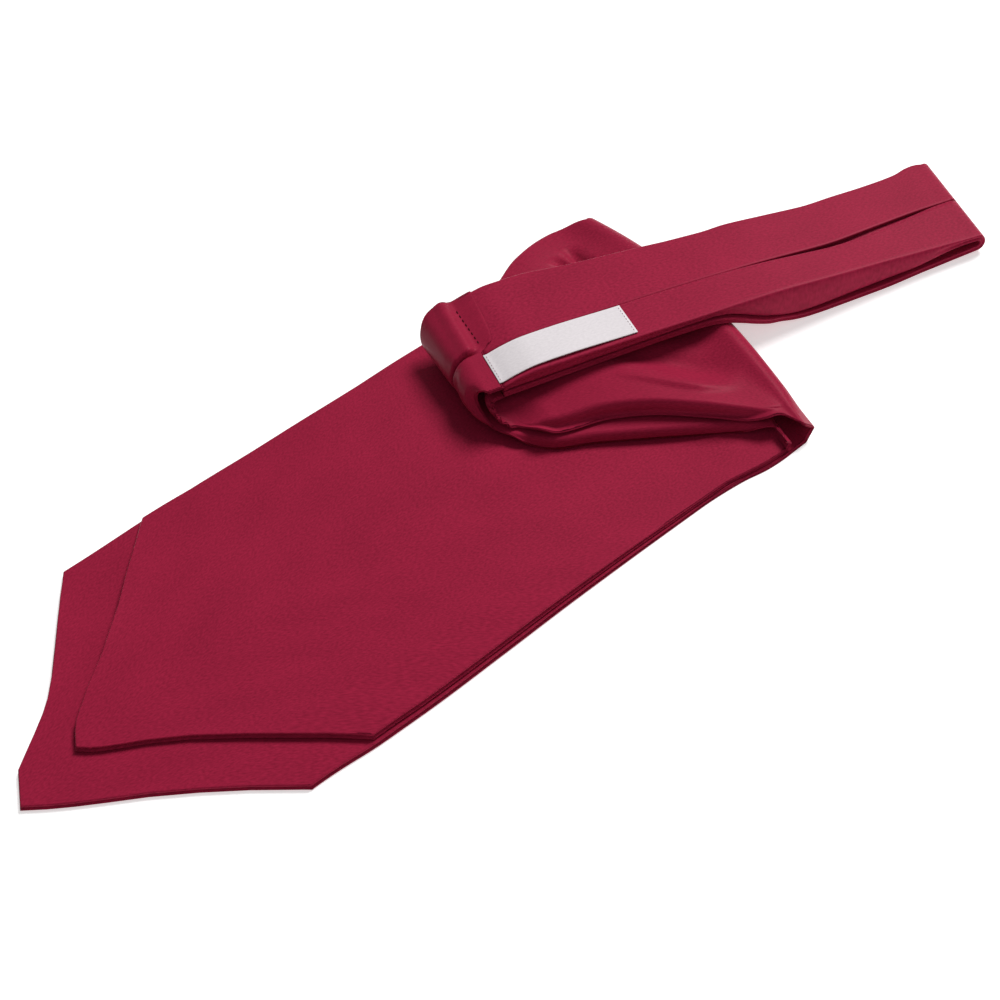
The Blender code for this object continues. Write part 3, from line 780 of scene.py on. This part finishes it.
def rim_offset(height, groove, soft):
    """How far a cut edge stands in at a height from its lower skin (0) to its upper skin (1)."""
    ply = (2.0 * height) % 1.0
    if height in (0.0, 1.0):
        return -soft
    if groove and abs(height - 0.5) < 0.2:
        return -groove * (1.0 - 2.0 * abs(height - 0.5))
    if groove and height < 0.5:
        return RIM_LEDGE - soft * (1.0 - sin(pi * ply) ** 0.5)
    return -soft * (1.0 - sin(pi * ply) ** 0.5)


def cloth_shell(name, stations, wall, side, groove=0.0, soft=RIM_ROUND, wrap_round=False):
    """A grid moved to its stations and thickened to one side, with rounded cut edges of two plies."""
    rows, columns = len(stations), len(stations[0])
    bm = bmesh.new()
    row_of = bm.verts.layers.float.new("row")
    column_of = bm.verts.layers.float.new("column")
    height_of = bm.verts.layers.float.new("height")
    bmesh.ops.create_grid(bm, x_segments=rows - 1, y_segments=columns - 1, size=1.0)
    for vert in bm.verts:
        vert[row_of] = round((vert.co.x + 1.0) / 2.0 * (rows - 1))
        vert[column_of] = round((vert.co.y + 1.0) / 2.0 * (columns - 1))
        vert.co = stations[int(vert[row_of])][int(vert[column_of])]
    bm.normal_update()
    normals = {(int(v[row_of]), int(v[column_of])): v.normal.copy() for v in bm.verts}
    lower = set(bm.verts)
    bmesh.ops.extrude_face_region(bm, geom=bm.faces[:])
    upper = [vert for vert in bm.verts if vert not in lower]
    for vert in upper:
        key = (int(vert[row_of]), int(vert[column_of]))
        vert[height_of] = 1.0
        vert.co += normals[key] * wall(key[0], key[1], vert.co) * side
    posts = [edge for edge in bm.edges if edge.verts[0][height_of] != edge.verts[1][height_of]]
    bmesh.ops.subdivide_edges(bm, edges=posts, cuts=RIM_CUTS, use_grid_fill=True)
    lay_rims(bm, stations, (row_of, column_of, height_of), groove, soft)
    lay_cloth_map(bm, stations, (row_of, column_of, height_of))
    bmesh.ops.recalc_face_normals(bm, faces=bm.faces[:])
    for vert in bm.verts:
        vert.co.x -= CENTRE_X
        vert.co.y -= CENTRE_Y
    mesh = bpy.data.meshes.new(name)
    bm.to_mesh(mesh)
    bm.free()
    obj = bpy.data.objects.new(name, mesh)
    bpy.context.scene.collection.objects.link(obj)
    for polygon in mesh.polygons:
        polygon.use_smooth = True
    return obj


def lay_rims(bm, stations, layers, groove, soft):
    """Rounds the cut edges and sinks the groove between their two plies."""
    row_of, column_of, height_of = layers
    rows, columns = len(stations), len(stations[0])
    for vert in bm.verts:
        row, column, height = round(vert[row_of]), round(vert[column_of]), vert[height_of]
        ends = []
        if row in (0, rows - 1):
            ends.append((1 if row == 0 else rows - 2, column))
        if column in (0, columns - 1):
            ends.append((row, 1 if column == 0 else columns - 2))
        if not ends:
            continue
        here = Vector(stations[row][column])
        out = Vector((0.0, 0.0, 0.0))
        for inner_row, inner_column in ends:
            out += (here - Vector(stations[inner_row][inner_column])).normalized()
        offset = rim_offset(height, groove, soft)
        vert.co += out.normalized() * offset


def lay_cloth_map(bm, stations, layers):
    """A UV map that follows the cloth, in metres along and across it."""
    row_of, column_of, height_of = layers
    middle = len(stations[0]) // 2
    along = [0.0]
    for one, two in zip(stations, stations[1:]):
        along.append(along[-1] + (Vector(two[middle]) - Vector(one[middle])).length)
    centre = len(stations) // 3
    across = [0.0]
    for one, two in zip(stations[centre], stations[centre][1:]):
        across.append(across[-1] + (Vector(two) - Vector(one)).length)
    uv = bm.loops.layers.uv.new("cloth")
    for face in bm.faces:
        for loop in face.loops:
            vert = loop.vert
            rise = vert[height_of] * PILE_WALL
            loop[uv].uv = (along[round(vert[row_of])] + rise, across[round(vert[column_of])] + rise)


def blade_wall(swells, lap_from=None):
    """The wall of a blade: tapered and softly swelling along the flat stretch, thin from the roll on."""

    def wall(row, column, place):
        if row < FLAT_ROWS:
            return wall_at(place.x) + swell_height(swells, place.x, place.y)
        if lap_from and row > lap_from:
            share = (row - lap_from) / LAP_ROWS
            wide = strip_share(column / (EDGE_COLUMNS + TOP_COLUMNS - 1))
            return PILE_WALL * (1.0 - (1.0 - LAP_EDGE) * smooth((share - 0.12) / 0.32) * wide)
        if lap_from and row > lap_from - WRAP_ROWS:
            share = (row - lap_from + WRAP_ROWS) / WRAP_ROWS
            groove = wrap_groove(band_place(place)[1], share)
            return PILE_WALL * (1.0 - (1.0 - SLIT_WALL) * smooth(groove / (3.0 * MM)))
        return PILE_WALL

    return wall


def slit_e(s):
    """The slit's place across the neckband: it swings towards the far edge at the folded end."""
    return SLIT_E - 0.8 * MM + SLIT_SWING * smooth((s - SLIT_SWING_FROM) / (FOLD_S - SLIT_SWING_FROM))


def near_sag(s):
    """How far the upper layer's near edge hangs down towards the lower layer."""
    upper = along_rows(UPPER_BAND, "s", "z", s / MM)
    lower = along_rows(LOWER_BAND, "s", "z", s / MM)
    room = upper - lower - 4.0 * BAND_EDGE_RADIUS - SAG_CLEARANCE
    return max(0.0, room) * smooth((FOLD_S - s) / SAG_FADE)


def band_section(near, far, gap, slit, sag=0.0, pinch=0.0):
    """Places across the neckband and depths below its slit side, round the folded-in tube."""
    r = BAND_EDGE_RADIUS
    near_lip, far_lip = slit - gap / 2.0, slit + gap / 2.0
    places = [(e, 0.0) for e in spaced(near_lip, near + r, BAND_NEAR_COLUMNS)]
    for turn in spaced(0.0, pi, BAND_ROUND_COLUMNS):
        out = sin(turn) ** 0.7 - pinch * exp(-(((turn - pi / 2.0) / 0.45) ** 2))
        places.append((near + r - r * out, (r + sag / 2.0) * (1.0 - cos(turn))))
    for e in spaced(near + r, far - r, BAND_FAR_COLUMNS):
        places.append((e, 2.0 * r + sag * smooth(1.0 - (e - near - r) / SAG_WIDTH)))
    for turn in spaced(0.0, pi, BAND_ROUND_COLUMNS):
        places.append((far - r + r * sin(turn), r + r * cos(turn)))
    places += [(e, 0.0) for e in spaced(far - r, far_lip, BAND_FAR_COLUMNS)]
    places.append((far_lip, 0.0))
    return places


def band_slope(rows, s):
    """Rise of a layer of the neckband for each unit along it."""
    ahead = along_rows(rows, "s", "z", (s + SLOPE_STEP) / MM)
    behind = along_rows(rows, "s", "z", (s - SLOPE_STEP) / MM)
    return (ahead - behind) / (2.0 * SLOPE_STEP)


def band_station(rows, s, side):
    """One station of a layer: side is -1 for the lower layer and 1 for the upper one."""
    near, far, gap, z = (along_rows(rows, "s", name, s / MM) for name in ("near", "far", "gap", "z"))
    slope = band_slope(rows, s)
    length = (1.0 + slope * slope) ** 0.5
    points = []
    sag = near_sag(s) if side > 0 else 0.0
    pinch = NEAR_PINCH * (1.0 - smooth(sag / (4.0 * MM)))
    for e, depth in band_section(near, far, gap, slit_e(s), sag, pinch):
        points.append(band_point(s + side * depth * slope / length, e, z - side * depth / length))
    return points


def end_station(share):
    """One station of the neckband's folded end, from the lower layer (0) to the upper one (1)."""
    low, high = LOWER_BAND[-1], UPPER_BAND[0]
    radius = (high.z - low.z) * MM / 2.0
    turn = pi * share
    near = (low.near + (high.near - low.near) * share) * MM
    far = (low.far + (high.far - low.far) * share) * MM
    points = []
    for e, depth in band_section(near, far, low.gap * MM, slit_e(FOLD_S), 0.0, NEAR_PINCH):
        reach = radius - depth
        points.append(band_point(FOLD_S + reach * sin(turn), e, low.z * MM + radius - reach * cos(turn)))
    return points


def band_stations():
    """The neckband's slit-side skin, from its lower seam round the folded end to its upper seam."""
    count = round((FOLD_S - SEAM_S) / BAND_ROW_STEP)
    out = spaced(SEAM_S, FOLD_S, count) + [FOLD_S]
    stations = [band_station(LOWER_BAND, s, -1) for s in out]
    stations += [end_station(step / BAND_END_ROWS) for step in range(1, BAND_END_ROWS)]
    stations += [band_station(UPPER_BAND, s, 1) for s in reversed(out)]
    return stations


def label_level(s):
    """The label's lower skin: on the neckband, and level with the wrap's near strip at its left end."""
    return max(along_rows(UPPER_BAND, "s", "z", s / MM) + LABEL_GAP, WRAP_TOP + PILE_WALL)


def stitches(name, places, length, thickness, colour):
    """A row of short stitches: a place and a direction for each."""
    bm = bmesh.new()
    for place, along in places:
        turn = Vector(along).to_track_quat("X", "Z").to_matrix().to_4x4()
        size = Matrix.Diagonal((length / 2.0, thickness / 2.0, thickness / 2.0, 1.0))
        spot = Matrix.Translation((place[0] - CENTRE_X, place[1] - CENTRE_Y, place[2]))
        bmesh.ops.create_icosphere(bm, subdivisions=2, radius=1.0, matrix=spot @ turn @ size)
    bmesh.ops.recalc_face_normals(bm, faces=bm.faces[:])
    mesh = bpy.data.meshes.new(name)
    bm.to_mesh(mesh)
    bm.free()
    thread = bpy.data.materials.new(name + "_thread")
    thread.use_nodes = True
    shader = thread.node_tree.nodes["Principled BSDF"]
    socket(shader, "Base Color", (*colour, 1.0))
    socket(shader, "Roughness", 0.6)
    socket(shader, "Specular IOR Level", 0.05)
    mesh.materials.append(thread)
    obj = bpy.data.objects.new(name, mesh)
    bpy.context.scene.collection.objects.link(obj)
    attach(obj, "root")
    return obj


def stitch_row(start, end, count):
    """Places and directions of stitches on a straight line between two points."""
    start, end = Vector(start), Vector(end)
    return [(start.lerp(end, (i + 0.5) / count), end - start) for i in range(count)]


def socket(shader, name, value):
    """Sets one of the shader's own sockets."""
    shader.inputs[name].default_value = value


def link(tree, start, start_name, end, end_name):
    tree.links.new(start.outputs[start_name], end.inputs[end_name])


def satin(name, colour, roughness, gloss=0.09, contrast=0.19):
    """Woven satin: fine floats along the cloth, a soft sheen and faint broad patches of painted sheen that lighten and
    darken the colour.
    """
    material = bpy.data.materials.new(name)
    material.use_nodes = True
    tree = material.node_tree
    shader = tree.nodes["Principled BSDF"]
    place = tree.nodes.new("ShaderNodeUVMap")
    place.uv_map = "cloth"
    sizes = settings()
    floats = tree.nodes.new("ShaderNodeMapping")
    floats.inputs["Scale"].default_value = (1.0 / sizes.float_length, 1.0 / sizes.thread_pitch, 1.0)
    link(tree, place, "UV", floats, "Vector")
    threads = tree.nodes.new("ShaderNodeTexNoise")
    threads.inputs["Scale"].default_value = 1.0
    threads.inputs["Detail"].default_value = 2.0
    link(tree, floats, "Vector", threads, "Vector")
    # Painted sheen: broad noise patches lighten and darken the base colour, standing in for the satin's uneven sheen
    sheen_clouds = tree.nodes.new("ShaderNodeTexNoise")
    sheen_clouds.inputs["Scale"].default_value = 45.0
    sheen_clouds.inputs["Detail"].default_value = 3.0
    link(tree, place, "UV", sheen_clouds, "Vector")
    tint = tree.nodes.new("ShaderNodeMix")
    tint.data_type = "RGBA"
    dark = [c * (1.0 - contrast) for c in colour]
    light = [min(1.0, c * (1.0 + contrast)) for c in colour]
    tint.inputs["A"].default_value = (*dark, 1.0)
    tint.inputs["B"].default_value = (*light, 1.0)
    mixing = tree.nodes.new("ShaderNodeMath")
    mixing.operation = "MULTIPLY_ADD"
    mixing.inputs[1].default_value = 2.4
    link(tree, threads, "Fac", mixing, "Value")
    # Painted sheen: the broad patches' share of the shift between the darker and lighter colour
    sheen_clouding = tree.nodes.new("ShaderNodeMath")
    sheen_clouding.operation = "MULTIPLY_ADD"
    sheen_clouding.inputs[1].default_value = 0.7
    sheen_clouding.inputs[2].default_value = -1.05
    link(tree, sheen_clouds, "Fac", sheen_clouding, "Value")
    tree.links.new(sheen_clouding.outputs[0], mixing.inputs[2])
    tree.links.new(mixing.outputs[0], tint.inputs["Factor"])
    tree.links.new(tint.outputs["Result"], shader.inputs["Base Color"])
    rough = tree.nodes.new("ShaderNodeMapRange")
    rough.inputs["To Min"].default_value = roughness - 0.05
    rough.inputs["To Max"].default_value = roughness + 0.05
    link(tree, threads, "Fac", rough, "Value")
    tree.links.new(rough.outputs["Result"], shader.inputs["Roughness"])
    bump = tree.nodes.new("ShaderNodeBump")
    bump.inputs["Strength"].default_value = 0.25
    bump.inputs["Distance"].default_value = 0.00006
    link(tree, threads, "Fac", bump, "Height")
    tree.links.new(bump.outputs["Normal"], shader.inputs["Normal"])
    socket(shader, "Specular IOR Level", gloss)
    socket(shader, "Specular Tint", (*(min(1.0, 0.06 + 2.4 * c) for c in colour), 1.0))
    return material


class CravatSettings(bpy.types.PropertyGroup):
    """Sizes and colours of the cravat."""

    blade_wall: FloatProperty(
        name="Blade wall", description="Thickness of a blade at its point", default=0.0024, unit="LENGTH"
    )
    label_length: FloatProperty(
        name="Label length", description="Length of the sewn label", default=0.057, unit="LENGTH"
    )
    label_width: FloatProperty(
        name="Label width", description="Width of the sewn label", default=0.018, unit="LENGTH"
    )
    label_wall: FloatProperty(
        name="Label wall", description="Thickness of the label", default=0.0004, unit="LENGTH"
    )
    thread_pitch: FloatProperty(
        name="Thread pitch", description="Distance between the satin's threads", default=0.0008, unit="LENGTH"
    )
    float_length: FloatProperty(
        name="Float length", description="Length of the satin's floats", default=0.0013, unit="LENGTH"
    )
    satin_colour: FloatVectorProperty(
        name="Satin", description="Colour of the blades", default=(0.291, 0.0134, 0.0425), subtype="COLOR"
    )
    band_colour: FloatVectorProperty(
        name="Neckband", description="Colour of the neckband", default=(0.300, 0.0145, 0.045), subtype="COLOR"
    )
    label_colour: FloatVectorProperty(
        name="Label", description="Colour of the label", default=(0.76, 0.71, 0.73), subtype="COLOR"
    )
    satin_roughness: FloatProperty(
        name="Satin roughness", description="Roughness of the satin", default=0.42, subtype="FACTOR"
    )
    # The seam's stitches: real maroon thread, darkened to near black as painted shade of the dimples they sink into
    seam_thread_and_shade_colour: FloatVectorProperty(
        name="Thread", description="Colour of the seam's thread", default=(0.09, 0.004, 0.013), subtype="COLOR"
    )
    label_thread_colour: FloatVectorProperty(
        name="Label thread", description="Colour of the label's thread", default=(0.5, 0.4, 0.42), subtype="COLOR"
    )
    stitch_count: IntProperty(
        name="Seam stitches", description="Stitches along the wrap's seam", default=8
    )
    label_stitch_count: IntProperty(
        name="Label stitches", description="Stitches along each end of the label", default=9
    )


def dress(obj, node):
    """Puts a finished cloth in the place of its solid."""
    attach(obj, "root")
    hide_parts(node)


class CRAVAT_OT_blades(bpy.types.Operator):
    """Lays the two pointed blades, with their right rolls, returns and left ends"""

    bl_idname = "cravat.blades"
    bl_label = "Blades"

    def execute(self, context):
        sizes = settings()
        cloth = satin("blade_satin", sizes.satin_colour, sizes.satin_roughness)
        under = Blade(UNDER_POINT, UNDER_EDGES, UNDER_FOLD, UNDER_RETURN, UNDER_HEM, UNDER_CREASES, over=False)
        stations = blade_stations(under)
        stations += inner_stations(stations[-1])
        obj = cloth_shell("under_blade_cloth", stations, blade_wall(UNDER_SWELLS), 1.0, RIM_GROOVE)
        obj.data.materials.append(cloth)
        dress(obj, "under_blade")
        over = Blade(OVER_POINT, OVER_EDGES, OVER_FOLD, OVER_RETURN, OVER_HEM, [], over=True)
        stations = blade_stations(over)
        stations += wrap_stations(stations[-1])
        lap_from = len(stations) - 1 - LAP_ROWS
        obj = cloth_shell("over_blade_cloth", stations, blade_wall(OVER_SWELLS, lap_from), 1.0, RIM_GROOVE)
        obj.data.materials.append(cloth)
        dress(obj, "over_blade")
        level = along_rows(UPPER_BAND, "s", "z", SEAM_S / MM) + SEAM_LIFT
        start = band_point(SEAM_S - 0.2 * MM, 128.0 * MM, level)
        end = band_point(SEAM_S + 0.8 * MM, 104.0 * MM, level)
        # Seam stitches, their thread darkened as painted shade of their dimples
        row = stitch_row(start, end, sizes.stitch_count)
        stitches("seam_stitches", row, 0.0018, 0.0005, sizes.seam_thread_and_shade_colour)
        return {"FINISHED"}


class CRAVAT_OT_neckband(bpy.types.Operator):
    """Lays the neckband, a folded-in tube that runs out and back over the pile"""

    bl_idname = "cravat.neckband"
    bl_label = "Neckband"

    def execute(self, context):
        sizes = settings()
        obj = cloth_shell("neckband_cloth", band_stations(), lambda row, column, place: BAND_WALL, -1.0, 0.0, 0.1 * MM)
        obj.data.materials.append(satin("neckband_satin", sizes.band_colour, sizes.satin_roughness))
        dress(obj, "neckband")
        return {"FINISHED"}


class CRAVAT_OT_label(bpy.types.Operator):
    """Sews the blank label on the near half of the neckband"""

    bl_idname = "cravat.label"
    bl_label = "Label"

    def execute(self, context):
        sizes = settings()
        rows, columns = 40, 14
        stations = []
        for i in range(rows + 1):
            share = i / rows
            s = LABEL_START + sizes.label_length * share
            z = label_level(s) + LABEL_WAVE * sin(pi * share) ** 2
            far = LABEL_NEAR_E + sizes.label_width
            places = spaced(LABEL_NEAR_E, far, columns) + [far]
            stations.append([band_point(s, e, z) for e in places])
        obj = cloth_shell("label_cloth", stations, lambda row, column, place: sizes.label_wall, 1.0, 0.0, 0.1 * MM)
        obj.data.materials.append(satin("label_satin", sizes.label_colour, 0.5, 0.1, 0.05))
        dress(obj, "label")
        row = []
        for s in (LABEL_START + LABEL_HEM, LABEL_START + sizes.label_length - LABEL_HEM):
            z = label_level(s) + sizes.label_wall + 0.05 * MM
            start = band_point(s, LABEL_NEAR_E + LABEL_HEM, z)
            end = band_point(s, far - LABEL_HEM, z)
            row += stitch_row(start, end, sizes.label_stitch_count)
        stitches("label_stitches", row, 0.0011, 0.0003, sizes.label_thread_colour)
        return {"FINISHED"}


class CRAVAT_OT_stage(bpy.types.Operator):
    """Sets the pale floor, the soft lights and the camera"""

    bl_idname = "cravat.stage"
    bl_label = "Stage"

    def execute(self, context):
        scene = bpy.context.scene
        mesh = bpy.data.meshes.new("floor")
        bm = bmesh.new()
        bmesh.ops.create_grid(bm, x_segments=8, y_segments=8, size=6.0)
        bm.to_mesh(mesh)
        bm.free()
        floor = bpy.data.objects.new("floor", mesh)
        scene.collection.objects.link(floor)
        paper = bpy.data.materials.new("pale_floor")
        paper.use_nodes = True
        shader = paper.node_tree.nodes["Principled BSDF"]
        socket(shader, "Base Color", (0.86, 0.86, 0.86, 1.0))
        socket(shader, "Emission Color", (1.0, 1.0, 1.0, 1.0))
        socket(shader, "Emission Strength", 0.5)
        socket(shader, "Roughness", 0.9)
        socket(shader, "Specular IOR Level", 0.1)
        mesh.materials.append(paper)
        world = bpy.data.worlds.new("studio")
        world.use_nodes = True
        background = world.node_tree.nodes["Background"]
        background.inputs["Color"].default_value = (1.0, 1.0, 1.0, 1.0)
        background.inputs["Strength"].default_value = 0.195
        scene.world = world
        for name, place, size, power in LIGHTS:
            data = bpy.data.lights.new(name, "AREA")
            data.shape = "DISK"
            data.size = size
            data.energy = power
            lamp = bpy.data.objects.new(name, data)
            scene.collection.objects.link(lamp)
            lamp.location = place
            lamp.rotation_euler = (-Vector(place)).to_track_quat("-Z", "Y").to_euler()
        data = bpy.data.cameras.new("camera")
        data.lens = 72.0
        data.sensor_width = 36.0
        data.clip_start = 0.01
        camera = bpy.data.objects.new("camera", data)
        scene.collection.objects.link(camera)
        camera.location = (-0.10134 - CENTRE_X, -0.46241 - CENTRE_Y, 0.51761)
        camera.rotation_euler = (radians(45.0342), radians(7.6573), radians(-39.4058))
        scene.camera = camera
        scene.view_settings.view_transform = "Standard"
        return {"FINISHED"}


LIGHTS = [
    ("key", (3.8, 0.9, 4.2), 2.4, 342.0),
    ("fill", (-0.8, -1.6, 1.5), 1.4, 4.5),
]


class CRAVAT_PT_panel(bpy.types.Panel):
    """Lists the cravat's sizes, colours and pieces"""

    bl_idname = "CRAVAT_PT_panel"
    bl_label = "Silk cravat"
    bl_space_type = "VIEW_3D"
    bl_region_type = "UI"
    bl_category = "Cravat"

    def draw(self, context):
        sizes = context.scene.cravat
        for name in CravatSettings.__annotations__:
            self.layout.prop(sizes, name)
        for operator in OPERATORS:
            self.layout.operator(operator.bl_idname)


OPERATORS = (CRAVAT_OT_blades, CRAVAT_OT_neckband, CRAVAT_OT_label, CRAVAT_OT_stage)
CLASSES = (CravatSettings, *OPERATORS, CRAVAT_PT_panel)


def register():
    for cls in CLASSES:
        bpy.utils.register_class(cls)
    bpy.types.Scene.cravat = PointerProperty(type=CravatSettings)


def unregister():
    del bpy.types.Scene.cravat
    for cls in reversed(CLASSES):
        bpy.utils.unregister_class(cls)


def main():
    """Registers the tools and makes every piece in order."""
    register()
    bpy.ops.cravat.blades()
    bpy.ops.cravat.neckband()
    bpy.ops.cravat.label()
    bpy.ops.cravat.stage()


if __name__ == "__main__":
    main()
